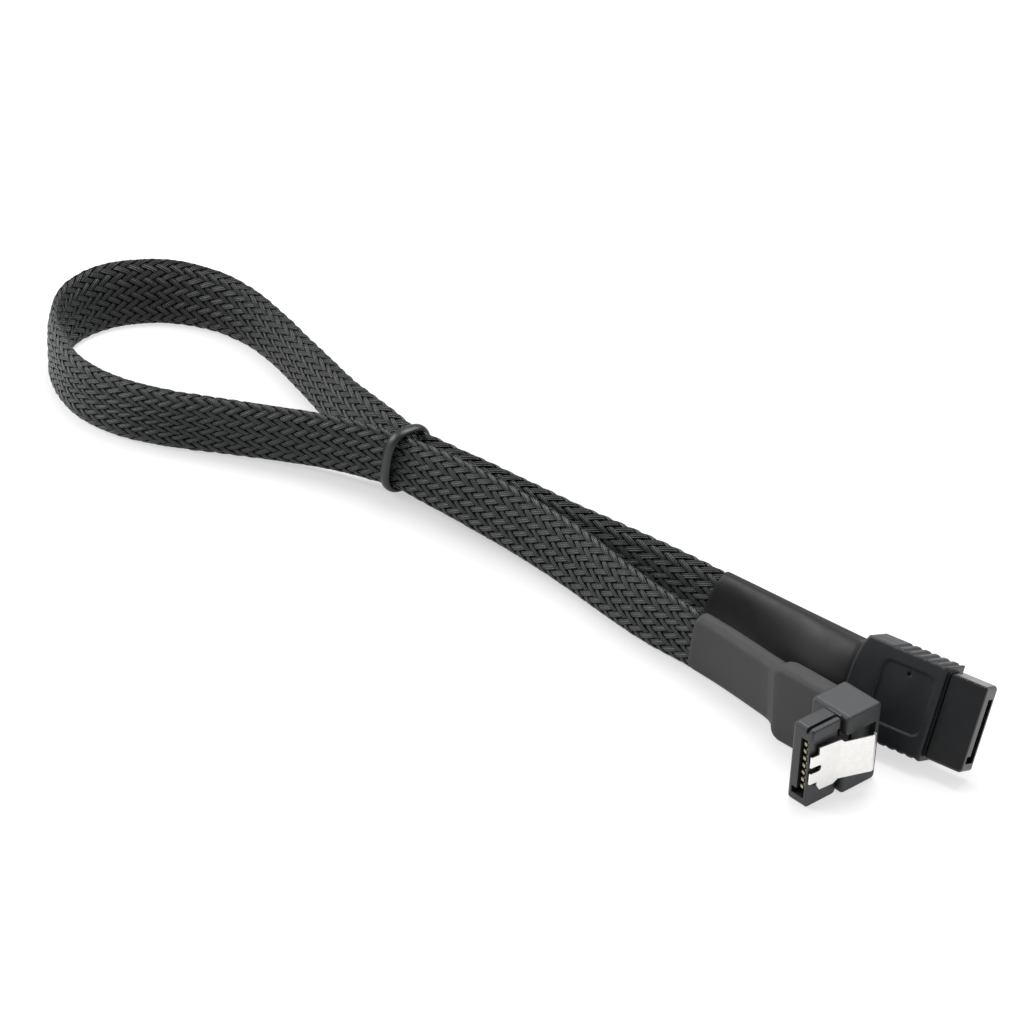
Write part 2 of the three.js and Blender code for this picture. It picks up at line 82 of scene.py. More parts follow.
# Cable route, as in the CAD: x, y, lift in metres, lean to the left in degrees
ROUTE = np.array([
    (-0.02198, -0.00187, 0.00000, 1),
    (-0.03138, -0.00257, 0.00000, -4),
    (-0.04088, -0.00227, 0.00000, -7),
    (-0.05048, -0.00157, 0.00003, -9),
    (-0.06008, -0.00137, 0.00016, -8),
    (-0.06968, -0.00197, 0.00051, -7),
    (-0.07918, -0.00307, 0.00102, -5),
    (-0.08858, -0.00427, 0.00124, 0),
    (-0.09768, -0.00647, 0.00124, 4),
    (-0.10648, -0.00997, 0.00075, 6),
    (-0.11478, -0.01497, 0.00030, 5),
    (-0.12268, -0.02067, 0.00010, 3),
    (-0.13028, -0.02627, 0.00002, 0),
    (-0.13868, -0.03047, 0.00000, -3),
    (-0.14808, -0.03167, 0.00000, -4),
    (-0.15758, -0.02917, 0.00000, -3),
    (-0.16568, -0.02407, 0.00000, 2),
    (-0.17098, -0.01647, 0.00000, 10),
    (-0.17178, -0.00717, 0.00000, 19),
    (-0.16758, 0.00123, 0.00000, 18),
    (-0.15968, 0.00673, 0.00000, 9),
    (-0.15048, 0.00853, 0.00000, 4),
    (-0.14098, 0.00763, 0.00000, 2),
    (-0.13148, 0.00553, 0.00001, 3),
    (-0.12198, 0.00313, 0.00009, 5),
    (-0.11258, 0.00078, 0.00040, 5),
    (-0.10308, -0.00077, 0.00100, 4),
    (-0.09368, -0.00117, 0.00126, 0),
    (-0.08438, -0.00057, 0.00120, 1),
    (-0.07498, 0.00093, 0.00079, 5),
    (-0.06558, 0.00223, 0.00033, 8),
    (-0.05618, 0.00373, 0.00009, 8),
    (-0.04668, 0.00513, 0.00001, 9.5),
    (-0.03718, 0.00633, 0.00000, 11),
    (-0.02778, 0.00733, 0.00000, 10),
])
SLEEVE_WIDTH = 10.6 * MM
SLEEVE_THICK = 3.0 * MM
EDGE = SLEEVE_THICK / 2
RAIL_SPAN = SLEEVE_WIDTH - SLEEVE_THICK
ROUTE_STEPS = 60
STRIP_POINTS = 1600


def unit(v):
    return v / np.linalg.norm(v, axis=-1, keepdims=True)


def ease(x):
    """A smooth step from 0 to 1."""
    x = np.clip(x, 0, 1)
    return x * x * (3 - 2 * x)


def bent(x, power):
    """A power of x that keeps its sign."""
    return np.sign(x) * np.abs(x) ** power


def distances(line):
    """How far along a line each of its points is."""
    return np.r_[0, np.cumsum(np.linalg.norm(np.diff(line, axis=0), axis=1))]


def spline(points, per_span):
    """A smooth line through the points."""
    p = np.vstack([2 * points[0] - points[1], points, 2 * points[-1] - points[-2]])
    t = np.linspace(0, 1, per_span, endpoint=False)[:, None]
    spans = []
    for a, b, c, d in zip(p[:-3], p[1:-2], p[2:-1], p[3:]):
        square = 2 * a - 5 * b + 4 * c - d
        cubic = -a + 3 * b - 3 * c + d
        spans.append(0.5 * (2 * b + (c - a) * t + square * t**2 + cubic * t**3))
    return np.vstack(spans + [p[-2:-1]])


class Strip:
    """A flat strip's centre line, side and height directions, by distance along it."""

    def __init__(self, lower, upper):
        middle = (lower + upper) / 2
        dist = distances(middle)
        self.length = dist[-1]
        self.s = np.linspace(0, self.length, STRIP_POINTS)
        self.c = np.stack([np.interp(self.s, dist, middle[:, k]) for k in range(3)], 1)
        high = np.stack([np.interp(self.s, dist, (upper - lower)[:, k]) for k in range(3)], 1)
        self.t = unit(np.gradient(self.c, axis=0))
        high -= (high * self.t).sum(1, keepdims=True) * self.t
        self.h = unit(high)
        self.n = np.cross(self.h, self.t)

    def at(self, s):
        """Centre, way, height and side at each distance. Past an end the strip runs on straight."""
        inside = np.clip(s, 0, self.length)
        c, t, h, n = (
            np.stack([np.interp(inside, self.s, a[:, k]) for k in range(3)], -1)
            for a in (self.c, self.t, self.h, self.n)
        )
        return c + t * (s - inside)[..., None], t, h, n


def route_rails():
    """The lines that the strip's lower and upper rounded edges turn about."""
    heading = np.arctan2(*(np.gradient(ROUTE[:, k]) for k in (1, 0)))
    lean = np.radians(ROUTE[:, 3])
    lower = np.c_[ROUTE[:, 0], ROUTE[:, 1], EDGE + ROUTE[:, 2]]
    side = np.c_[-np.sin(heading) * np.sin(lean), np.cos(heading) * np.sin(lean), np.cos(lean)]
    return spline(lower, ROUTE_STEPS), spline(lower + RAIL_SPAN * side, ROUTE_STEPS)


sleeve = Strip(*route_rails())
TURN_AT = float(sleeve.s[np.argmin(sleeve.c[:, 0])])

SECTION_POINTS = 2400
TOP_SIDE_POWER = 1.35
TOP_RISE_POWER = 0.8


def sleeve_section(half_thick, half_wide):
    """A flattened tube, narrow at its top and round at its foot, with its outward direction."""
    a = np.linspace(0, np.pi, SECTION_POINTS // 2)
    b = np.linspace(-np.pi, 0, SECTION_POINTS // 2)
    top = half_thick * bent(np.cos(a), TOP_SIDE_POWER), half_wide * np.sin(a) ** TOP_RISE_POWER
    foot = half_thick * np.cos(b), half_thick * np.sin(b) - (half_wide - half_thick)
    n, h = (np.r_[t, f, t[:1]] for t, f in zip(top, foot))
    dist = np.r_[0, np.cumsum(np.hypot(np.diff(n), np.diff(h)))]
    even = np.linspace(0, dist[-1], SECTION_POINTS)
    n, h = np.interp(even, dist, n), np.interp(even, dist, h)
    dn, dh = np.gradient(n), np.gradient(h)
    size = np.hypot(dn, dh)
    return even, n, h, dh / size, -dn / size


SECTION = sleeve_section(1.4 * MM, SLEEVE_WIDTH / 2)
CORE_SECTION = sleeve_section(0.85 * MM, 4.5 * MM)
AROUND = float(SECTION[0][-1])

# The ring: its middle, half its width and height, and how it leans along the cable
RING_CENTRE = np.array([-0.09190, -0.00317, 0.00665])
RING_HALF = (4.10 * MM, 6.05 * MM)
RING_TILT = 0.16
RING_TURN = math.radians(-4)
RING_SIDE = np.array([-math.sin(RING_TURN), math.cos(RING_TURN), 0])
RING_AXIS = np.array([math.cos(RING_TURN), math.sin(RING_TURN), 0])
RING_POWER = 2 / 3
BAND_HALF_THICK = 0.55 * MM
BAND_HALF_WIDE = 1.15 * MM
BAND_POINTS = (96, 20)
HELD_AT = [
    float(sleeve.s[np.argmin(np.where(side, np.abs(sleeve.c[:, 0] - RING_CENTRE[0]), 9))])
    for side in (sleeve.s < TURN_AT, sleeve.s > TURN_AT)
]
HELD_REACH = 4.0 * MM
HELD_SIDEWAYS = 0.08
HELD_UPWARDS = 0.06


def pinched(point, s):
    """Draws the two runs together where the ring holds them."""
    hold = sum(np.exp(-(((s - at) / HELD_REACH) ** 2)) for at in HELD_AT)[..., None]
    off = point - RING_CENTRE
    sideways = (off @ RING_SIDE)[..., None] * RING_SIDE
    upwards = off[..., 2:] * UP
    return point - hold * (HELD_SIDEWAYS * sideways + HELD_UPWARDS * upwards)


# How much higher the sleeve stands than its nominal width, by distance, both in millimetres
SWELL_AT = (0, 12, 25, 60, 75, 86, 113, 130, 150, 165, 178, 190,
            200, 210, 217, 228, 240, 260, 268, 280, 300, 320, 330)
SWELL = (0, 0.3, 0.6, 0.55, 0.45, 0.5, 0.6, 0.7, 0.6, 0.4, 0, -0.3,
         -0.3, -0.1, 0.15, 0.35, 0.6, 0.75, 0.3, 0.2, 0.3, 0.45, 0.55)
BULGE = 0.00155
BULGE_AT = TURN_AT + 0.014
BULGE_REACH = 0.030


def sleeve_point(s, w, out, section=SECTION):
    """A point on the sleeve, at s along it and w round it, raised by out. It bulges at the turn."""
    c, _, h, n = sleeve.at(s)
    dist = section[0]
    pn, ph, nn, nh = (np.interp(np.mod(w, dist[-1]), dist, v) for v in section[1:])
    bulge = BULGE * np.exp(-(((s - BULGE_AT) / BULGE_REACH) ** 2))
    bulge = bulge + MM * np.interp(s / MM, SWELL_AT, SWELL)
    wide = 1 + bulge / SLEEVE_WIDTH
    side = (pn + nn * out)[..., None] * n
    rise = ((ph + nh * out) * wide + bulge / 2)[..., None] * h
    return pinched(c + side + rise, s)


def add_piece(name, points, faces):
    """A smooth shaded mesh in the scene."""
    mesh = bpy.data.meshes.new(name)
    mesh.from_pydata(points, [], faces)
    mesh.polygons.foreach_set("use_smooth", [True] * len(mesh.polygons))
    mesh.update()
    piece = bpy.data.objects.new(name, mesh)
    scene.collection.objects.link(piece)
    return piece


def shade_flat(piece):
    piece.data.polygons.foreach_set("use_smooth", [False] * len(piece.data.polygons))
    return piece


def tube_mesh(name, rings, across=None, tone=None):
    """Closed tubes from an array of strands by rings by points round each ring.

    The layer "strand" holds each face's tone, its own random shade with painted shade added, and
    its place across the strand.
    """
    strands, count, ring, _ = rings.shape
    index = np.arange(strands * count * ring).reshape(strands, count, ring)
    turned = np.roll(index, -1, axis=2)
    sides = [turned[:, :-1], turned[:, 1:], index[:, 1:], index[:, :-1]]
    quads = np.stack(sides, -1).reshape(-1, 4).tolist()
    ends = index[:, -1, ::-1].tolist() + index[:, 0].tolist()
    piece = add_piece(name, rings.reshape(-1, 3).tolist(), quads + ends)
    if across is not None:
        shape = (strands, count - 1, ring)
        here = np.broadcast_to(across, shape)
        after = np.broadcast_to(np.roll(across, -1), shape)
        place = np.stack([after, after, here, here], -1).reshape(-1, 4)
        shade = np.repeat(np.broadcast_to(tone[:, 1:, None], shape).reshape(-1), 4).reshape(-1, 4)
        uv = np.stack([shade, place], -1).reshape(-1)
        uv = np.r_[uv, np.zeros(2 * len(piece.data.loops) - len(uv))]
        piece.data.uv_layers.new(name="strand").data.foreach_set("uv", uv)
    return piece


# Materials
def new_material(name, color, rough, metallic=0.0, specular=0.5):
    material = bpy.data.materials.new(name)
    material.use_nodes = True
    shader = material.node_tree.nodes["Principled BSDF"]
    shader.inputs["Base Color"].default_value = (*color, 1)
    shader.inputs["Roughness"].default_value = rough
    shader.inputs["Metallic"].default_value = metallic
    shader.inputs["Specular IOR Level"].default_value = specular
    return material, material.node_tree.nodes, material.node_tree.links, shader


def scaled(color, factor):
    return tuple(c * factor for c in color)


def noise(nodes, links, scale, detail=3.0):
    place = nodes.new("ShaderNodeTexCoord")
    node = nodes.new("ShaderNodeTexNoise")
    node.inputs["Scale"].default_value = scale
    node.inputs["Detail"].default_value = detail
    links.new(place.outputs["Object"], node.inputs["Vector"])
    return node.outputs["Fac"]


def ramp(nodes, links, source, low, high, a, b):
    node = nodes.new("ShaderNodeValToRGB")
    for element, place, color in zip(node.color_ramp.elements, (low, high), (a, b)):
        element.position = place
        element.color = (*color, 1)
    links.new(source, node.inputs["Fac"])
    return node.outputs["Color"]


def math_node(nodes, links, kind, *values):
    """A maths node fed by numbers, set on the socket, or by other nodes' outputs."""
    node = nodes.new("ShaderNodeMath")
    node.operation = kind
    for socket, item in zip(node.inputs, values):
        if isinstance(item, (int, float)):
            socket.default_value = item
        else:
            links.new(item, socket)
    return node.outputs["Value"]


def add_bump(nodes, links, shader, height, distance, round_edges=None):
    bump = nodes.new("ShaderNodeBump")
    bump.inputs["Distance"].default_value = distance
    bump.inputs["Strength"].default_value = 1.0
    links.new(height, bump.inputs["Height"])
    if round_edges:
        bevel = nodes.new("ShaderNodeBevel")
        bevel.samples = 6
        bevel.inputs["Radius"].default_value = round_edges
        links.new(bevel.outputs["Normal"], bump.inputs["Normal"])
    links.new(bump.outputs["Normal"], shader.inputs["Normal"])


def plastic(name, color, rough, spread, grain, depth, specular=0.5, round_edges=0.12 * MM):
    """Moulded plastic or rubber with a fine grain and faint patches of another tone."""
    material, nodes, links, shader = new_material(name, color, rough, 0, specular)
    patches = noise(nodes, links, 260, 4)
    dark, light = scaled(color, 1 - spread), scaled(color, 1 + spread)
    tone = ramp(nodes, links, patches, 0.35, 0.65, dark, light)
    links.new(tone, shader.inputs["Base Color"])
    dull = ramp(nodes, links, patches, 0.3, 0.7, (rough - 0.05,) * 3, (rough + 0.05,) * 3)
    links.new(dull, shader.inputs["Roughness"])
    add_bump(nodes, links, shader, noise(nodes, links, grain, 2), depth, round_edges)
    return material


def metal(name, color, rough, grain=1500, depth=0.004 * MM, round_edges=0.06 * MM):
    material, nodes, links, shader = new_material(name, color, rough, 1.0)
    streaks = noise(nodes, links, grain, 3)
    tone = ramp(nodes, links, streaks, 0.3, 0.7, scaled(color, 0.93), color)
    links.new(tone, shader.inputs["Base Color"])
    add_bump(nodes, links, shader, streaks, depth, round_edges)
    return material


def braid_material():
    """Filaments side by side in each strand, and a shade of its own for each stitch. The colour
    also holds painted shade between the filaments, at the strands' edges and where a stitch dives
    under, and painted light and shade along the cable.
    """
    color = (0.0262, 0.0284, 0.0297)
    material, nodes, links, shader = new_material("braid", color, 0.42)

    def calc(kind, *values):
        return math_node(nodes, links, kind, *values)

    coords = nodes.new("ShaderNodeTexCoord")
    split = nodes.new("ShaderNodeSeparateXYZ")
    links.new(coords.outputs["UV"], split.inputs["Vector"])
    shade, across = split.outputs["X"], split.outputs["Y"]
    # The filaments' ridges, which also darken the colour between them: painted shade in the grooves
    ridge = calc("ABSOLUTE", calc("SINE", calc("MULTIPLY", across, 3 * math.pi)))
    # Darker towards each strand's edges: painted shade in the gaps between strands
    edge_shade = calc("SINE", calc("MULTIPLY", across, math.pi))
    speckle = noise(nodes, links, 1400, 3)
    filament_shade = calc("MULTIPLY", ridge, calc("ADD", speckle, 0.5))
    # Each stitch's tone from the layer, with its painted shade where it dives under
    own = calc("ADD", calc("MULTIPLY", shade, 0.8), 0.6)
    edged = calc("MULTIPLY", calc("POWER", edge_shade, 0.6), own)
    mixed = calc("MULTIPLY", filament_shade, edged)
    tone = ramp(nodes, links, mixed, 0.0, 1.0, scaled(color, 0.45), scaled(color, 1.65))
    # Painted light and shade along the cable, from the weave's table, scales the colour
    light = nodes.new("ShaderNodeAttribute")
    light.attribute_name = "light"
    painted_light_tone = nodes.new("ShaderNodeVectorMath")
    painted_light_tone.operation = "SCALE"
    links.new(tone, painted_light_tone.inputs["Vector"])
    links.new(light.outputs["Fac"], painted_light_tone.inputs["Scale"])
    links.new(painted_light_tone.outputs["Vector"], shader.inputs["Base Color"])
    add_bump(nodes, links, shader, ridge, 0.10 * MM)
    return material


def core_material():
    material, nodes, links, shader = new_material("core_film", (0.006, 0.006, 0.007), 0.6, 0, 0.3)
    dark, light = (0.004, 0.004, 0.005), (0.009, 0.009, 0.010)
    tone = ramp(nodes, links, noise(nodes, links, 900), 0.3, 0.7, dark, light)
    links.new(tone, shader.inputs["Base Color"])
    return material


SATIN = (0.028, 0.030, 0.033)
BRAID = braid_material()
CORE = core_material()
SHRINK_NEAR = plastic(
    "shrink_near", (0.051, 0.051, 0.051), 0.62, 0.06, 5000, 0.010 * MM, 0.35, None)
# The far tube's colour is about a tenth of the near tube's: painted shade, for it lies behind the
# near tube in its shade
SHRINK_FAR = plastic(
    "shrink_far", (0.0055, 0.0055, 0.0055), 0.50, 0.08, 5000, 0.008 * MM, 0.42, None)
RUBBER = plastic(
    "ring_rubber", (0.013, 0.0148, 0.0152), 0.42, 0.1, 4000, 0.010 * MM, 0.5, None)
# The grip's colour is about a quarter of the block's, though they are alike: painted shade, for the
# grip's faces lie in shade
OVERMOULD = plastic(
    "overmould", (0.011, 0.013, 0.015), 0.45, 0.08, 7000, 0.008 * MM, 0.5, 0.55 * MM)
BLOCK = plastic("overmould_block", (0.040, 0.043, 0.046), 0.5, 0.06, 7000, 0.008 * MM)
NOSE_NEAR = plastic("insulator_satin", SATIN, 0.38, 0.05, 9000, 0.004 * MM, 0.5, 0.10 * MM)
NOSE_FAR = plastic(
    "insulator_gloss", (0.012, 0.013, 0.015), 0.22, 0.05, 9000, 0.004 * MM, 0.5, 0.10 * MM)
STEEL = metal("steel", (0.86, 0.85, 0.83), 0.28)
WAIST_FAR = plastic(
    "waist_gloss", (0.014, 0.015, 0.017), 0.3, 0.05, 9000, 0.002 * MM, 0.5, None)
WAIST_NEAR = plastic("waist_satin", SATIN, 0.38, 0.05, 9000, 0.002 * MM, 0.5, None)
GOLD = metal("gold", (0.83, 0.64, 0.36), 0.42, 3000)
TIP = metal("contact_tip", (0.42, 0.38, 0.29), 0.45, 3000, 0.002 * MM, None)


def use_material(piece, material):
    piece.data.materials.clear()
    piece.data.materials.append(material)


def dress(piece, material, body="cable"):
    use_material(piece, material)
    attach(piece, body)


# Braided sleeve: two families of flat strands, each over two and under two of the other
STRANDS = 20
PITCH = AROUND / STRANDS
STRAND_STEP = 0.4 * MM
STRAND_ACROSS = np.array([-1.0, -0.5, 0.0, 0.5, 1.0])
STRAND_PLACE = np.array([0.0, 0.25, 0.5, 0.75, 1.0])
STRAND_OUT = np.array([0.0, 0.08, 0.11, 0.08, 0.0]) * MM
STRAND_HALF = 0.49
WAVE = 0.14 * MM
WAVE_FLAT = 1.1
WEAVE_IN = 0.13 * MM
STITCHES = 700
STITCH = 2.50
STITCH_GAIN = 0.50
LONGER_FROM = 0.184
LONGER_OVER = 0.025
WANDER = 0.05 * MM

# The sleeve's ends, tucked into the heat shrinks
TUCK = 3.2 * MM
CORE_POINTS = (500, 32)
SINK = 0.45 * MM
SINK_FROM = 0.8 * MM
SINK_OVER = 1.5 * MM

# How the strands crowd on the outer face, by distance in millimetres
CROWD_AT = (0, 95, 115, 140, 150, 165, 235, 330)
CROWD = (0.06, 0.06, -0.24, -0.24, -0.10, 0.0, 0.03, 0.08)

# Painted light and shade on the weave, by distance in millimetres: a factor on its colour, lowest
# on the loop's inner face, which lies in shade
PAINTED_LIGHT_AND_SHADE_AT = (0, 60, 80, 92, 116, 128, 142, 152, 160,
            170, 180, 195, 215, 246, 254, 270, 285, 330)
PAINTED_LIGHT_AND_SHADE = (0.75, 0.78, 0.84, 1.02, 1.05, 0.95, 1.2, 1.0, 0.80,
         0.52, 0.42, 0.49, 0.62, 0.65, 0.85, 0.82, 0.75, 0.74)


def wander(rng, count, length, reach):
    """Smooth random lines, one for each strand, with a knot every few millimetres."""
    knots = np.arange(0, length + 8 * MM, 5 * MM)
    values = rng.normal(0, reach, (count, len(knots)))
    return lambda s: np.stack([np.interp(s + TUCK, knots, row) for row in values])


def make_strands(name, way):
    """One family of strands. Its slant eases where the sleeve is drawn longer, after the turn."""
    rng = np.random.default_rng(7 if way > 0 else 8)
    s = np.arange(-TUCK, sleeve.length + TUCK, STRAND_STEP)
    period = (STITCH + STITCH_GAIN * np.clip((s - LONGER_FROM) / LONGER_OVER, 0, 1)) * MM
    cells = np.cumsum(np.r_[0, np.diff(s) / period[1:]])
    crowd = np.interp(s / MM, CROWD_AT, CROWD)
    count = np.arange(STRANDS)[:, None] + way * cells
    turn = 2 * np.pi * count / STRANDS
    start = PITCH * count + AROUND * crowd / (2 * np.pi) * np.sin(turn)
    pitch = PITCH * (1 + crowd * np.cos(turn))
    slant = np.arctan(pitch / period)[..., None]
    phase = count - 0.25
    wave = way * np.tanh(WAVE_FLAT * np.cos(np.pi * phase)) / math.tanh(WAVE_FLAT)
    tall = rng.uniform(0.7, 1.25, (STRANDS, STITCHES))
    shade = rng.uniform(0.0, 1.0, (STRANDS, STITCHES))
    stitch = np.floor(phase + 0.5).astype(int) % STITCHES
    row = np.arange(STRANDS)[:, None]
    start = start + wander(rng, STRANDS, sleeve.length + 4 * TUCK, WANDER)(s)
    across = STRAND_ACROSS * STRAND_HALF * pitch[..., None] * np.cos(slant)
    along = s[:, None] - way * np.sin(slant) * across
    around = start[..., None] + np.cos(slant) * across
    beyond = np.maximum(-s, s - sleeve.length)
    sunk = SINK * ease((beyond - SINK_FROM) / SINK_OVER)
    lift = WAVE * (wave * tall[row, stitch])[..., None]
    out = lift + STRAND_OUT - WEAVE_IN - sunk[:, None]
    along, around, out = np.broadcast_arrays(along, around, out)
    # Each stitch's tone: half its own random shade, half painted shade, darker where the stitch
    # dives under the other strands
    tone = 0.5 * shade[row, stitch] + 0.25 * (1 + wave)
    piece = tube_mesh(name, sleeve_point(along, around, out), STRAND_PLACE, tone)
    # Painted light and shade along the cable, from the table above, kept on each point for the
    # braid's colour
    light = piece.data.attributes.new("light", "FLOAT", "POINT")
    values = np.interp(along / MM, PAINTED_LIGHT_AND_SHADE_AT, PAINTED_LIGHT_AND_SHADE).reshape(-1)
    light.data.foreach_set("value", values.astype(np.float32))
    return piece


def make_core():
    """The flat cable that shows dark between the strands."""
    s = np.linspace(-TUCK, sleeve.length + TUCK, CORE_POINTS[0])
    w = np.linspace(0, CORE_SECTION[0][-1], CORE_POINTS[1], endpoint=False)
    along, around = np.meshgrid(s, w, indexing="ij")
    return tube_mesh("flat_cable", sleeve_point(along, around, 0 * along, CORE_SECTION)[None])


core = make_core()
dress(core, CORE)
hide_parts("braided_sleeve")
strands = [make_strands("braid_strands_a", 1), make_strands("braid_strands_b", -1)]
for piece in strands:
    dress(piece, BRAID)

# Heat shrinks
CORNER_POINTS = 7
SOFT_POINTS = 64
SOFT_SIDE_POWER = 0.85
SOFT_RISE_POWER = 0.7
SKEW_REACH = 3 * MM
LIP_DEPTH = 0.10
LIP_REACH = 0.25 * MM


def lofted(name, centres, sides, highs, half_thick, half_high, radius, skew=0.0):
    """A tube along the centres, its first end cut askew.

    Its section is a rounded rectangle, or a soft one where there is no radius.
    """
    if radius is None:
        angle = np.linspace(0, 2 * np.pi, SOFT_POINTS, endpoint=False)
        b = half_thick[:, None] * bent(np.cos(angle), SOFT_SIDE_POWER)
        a = half_high[:, None] * bent(np.sin(angle), SOFT_RISE_POWER)
    else:
        corner = np.linspace(0, np.pi / 2, CORNER_POINTS)
        angle = np.concatenate([corner + k * np.pi / 2 for k in range(4)])
        sx = np.repeat([1, -1, -1, 1], CORNER_POINTS)
        sy = np.repeat([1, 1, -1, -1], CORNER_POINTS)
        b = (half_thick - radius)[:, None] * sx + radius[:, None] * np.cos(angle)
        a = (half_high - radius)[:, None] * sy + radius[:, None] * np.sin(angle)
    rings = centres[:, None] + b[..., None] * sides[:, None] + a[..., None] * highs[:, None]
    slide = skew * a * np.exp(-distances(centres) / SKEW_REACH)[:, None]
    rings += slide[..., None] * unit(np.gradient(centres, axis=0))[:, None]
    return tube_mesh(name, rings[None])


def rounded_step(x, start, length):
    """A quarter round rise from 0 to 1."""
    u = np.clip((x - start) / length, 0, 1)
    return np.sqrt(np.maximum(0, 1 - (1 - u) ** 2))


def bezier(p0, way0, p1, way1, t):
    reach = np.linalg.norm(p1 - p0) / 3
    a, b = p0 + way0 * reach, p1 - way1 * reach
    t = t[:, None]
    return (1 - t) ** 3 * p0 + 3 * (1 - t) ** 2 * t * a + 3 * (1 - t) * t**2 * b + t**3 * p1


def shrink_line(end, past, foot, foot_high, foot_way, count):
    """Centres, sides and heights of a heat shrink from just past an end of the sleeve to a plug."""
    c, t, h, _ = (a[0] for a in sleeve.at(np.array([end])))
    way = t if end > 0 else -t
    t = np.linspace(0, 1, count)
    centre = bezier(c + way * past, way, foot, foot_way, t)
    high = unit(h * (1 - ease(t))[:, None] + foot_high * ease(t)[:, None])
    along = unit(np.gradient(centre, axis=0))
    high = unit(high - (high * along).sum(1, keepdims=True) * along)
    return centre, np.cross(high, along), high, distances(centre)


def thin_lip(dist):
    """The tube is drawn in a little at its cut end."""
    return 1 - LIP_DEPTH * np.exp(-dist / LIP_REACH)


# The angled plug's tube widens over the stem that leaves the block
STEM_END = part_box("angled_heat_shrink")[1][0] + 0.28 * MM
STEM_START = STEM_END - 10.18 * MM
STEM_Y = -4.67 * MM
STEM_LEAD = 4 * MM
STEM_ROUND = 2.2 * MM
NOSE_MIDDLE = 6.95
NEAR_PAST = 0.9 * MM
NEAR_SKEW = 0.12
NEAR_HIGH, NEAR_LEAD_HIGH, NEAR_STEM_HIGH = 5.35 * MM, 0.1 * MM, 1.25 * MM
NEAR_THICK, NEAR_LEAD_THICK, NEAR_STEM_THICK = 1.68 * MM, 0.12 * MM, 0.3 * MM
NEAR_RADIUS = 1.6 * MM


def make_angled_shrink():
    foot = np.array([STEM_END, STEM_Y, NOSE_MIDDLE * MM])
    way = np.array([1.0, 0, 0])
    centre, side, high, dist = shrink_line(0.0, NEAR_PAST, foot, UP, way, 260)
    x = centre[:, 0]
    step = rounded_step(x, STEM_START, STEM_ROUND)
    lead = ease((x - STEM_START + STEM_LEAD) / STEM_LEAD)
    centre[:, 1] += (STEM_Y - centre[:, 1]) * ease((x - STEM_START + 2 * MM) / (3 * MM))
    half_high = NEAR_HIGH + NEAR_LEAD_HIGH * lead + NEAR_STEM_HIGH * step
    half_thick = NEAR_THICK + NEAR_LEAD_THICK * lead + NEAR_STEM_THICK * step
    radius = np.minimum(NEAR_RADIUS, half_thick - 0.02 * MM) - 0.3 * MM * step
    half_thick, half_high = half_thick * thin_lip(dist), half_high * thin_lip(dist)
    name = "angled_heat_shrink_tube"
    return lofted(name, centre, side, high, half_thick, half_high, radius, NEAR_SKEW)


# The straight plug, in millimetres as in the CAD, resting on an edge of its grip
PLUG_YAW = math.radians(11.4)
PLUG_LEAN = math.radians(23.7)
BODY_START = 6.8
NOSE_THICK = 4.0
NOSE_HEIGHT = 13.88
GRIP_LENGTH = 16.1
GRIP_EDGE = 0.7
GRIP_BACK = 5.6
GRIP_BEVEL = 0.35
PLUG_TURN = Matrix.Rotation(PLUG_YAW, 3, "Z") @ Matrix.Rotation(-PLUG_LEAN, 3, "X")
PLUG_X, PLUG_Y, PLUG_Z = (
    np.array(PLUG_TURN @ Vector(v)) for v in ((1, 0, 0), (0, 1, 0), (0, 0, 1)))
REST = GRIP_EDGE * math.cos(PLUG_LEAN) + GRIP_BACK * math.sin(PLUG_LEAN) - 0.3 * GRIP_BEVEL
PLUG_AT = np.array([27.89 * MM, 6.39 * MM, REST * MM])
ANGLED_AT = (13.095, -15.67)
WAIST_FROM, WAIST_TO = -6.9, -6.49
WAIST_RADIUS = 0.5

# The straight plug's tube: its top edge is a straight line that starts above the sleeve
FAR_PAST = 0.1 * MM
FAR_SKEW = 0.25
FAR_HIGH, FAR_SWELL_HIGH = 5.42 * MM, 0.15 * MM
FAR_THICK, FAR_SWELL_THICK = 1.70 * MM, 0.55 * MM
FAR_SWELL_OVER = 14 * MM
FAR_START_RISE = 0.65 * MM
FAR_INTO_GRIP = np.linspace(0.4, 2.8, 7) * MM


def on_plug(x, y, z):
    """A point of the straight plug's own frame, in millimetres from its mating face."""
    return PLUG_AT + (x * PLUG_X + y * PLUG_Y + z * PLUG_Z) * MM


def on_angled(x, y, z):
    """A point of the angled plug's own frame, in millimetres from its mating face."""
    return np.array([ANGLED_AT[0] + y, ANGLED_AT[1] - x, z]) * MM


def make_straight_shrink():
    foot = on_plug(-BODY_START - GRIP_LENGTH - 0.1, NOSE_THICK / 2, NOSE_HEIGHT / 2 + 0.8)
    centre, side, high, dist = shrink_line(sleeve.length, FAR_PAST, foot, PLUG_Z, PLUG_X, 220)
    swell = ease(1 - (dist[-1] - dist) / FAR_SWELL_OVER)
    half_high = FAR_HIGH + FAR_SWELL_HIGH * swell
    low, top = centre - high * half_high[:, None], centre + high * half_high[:, None]
    start = top[0] + high[0] * FAR_START_RISE
    top = start + (top[-1] - start) * (dist / dist[-1])[:, None]
    centre, high = (top + low) / 2, unit(top - low)
    half_high = np.linalg.norm(top - low, axis=1) / 2 * thin_lip(dist)
    half_thick = (FAR_THICK + FAR_SWELL_THICK * swell) * thin_lip(dist)
    # The grip's back is bowed, so the tube goes on into it past the foot
    centre = np.r_[centre, centre[-1] + FAR_INTO_GRIP[:, None] * PLUG_X]
    side, high, half_thick, half_high = (
        np.r_[a, np.repeat(a[-1:], len(FAR_INTO_GRIP), axis=0)]
        for a in (side, high, half_thick, half_high)
    )
    name = "straight_heat_shrink_tube"
    return lofted(name, centre, side, high, half_thick, half_high, None, FAR_SKEW)


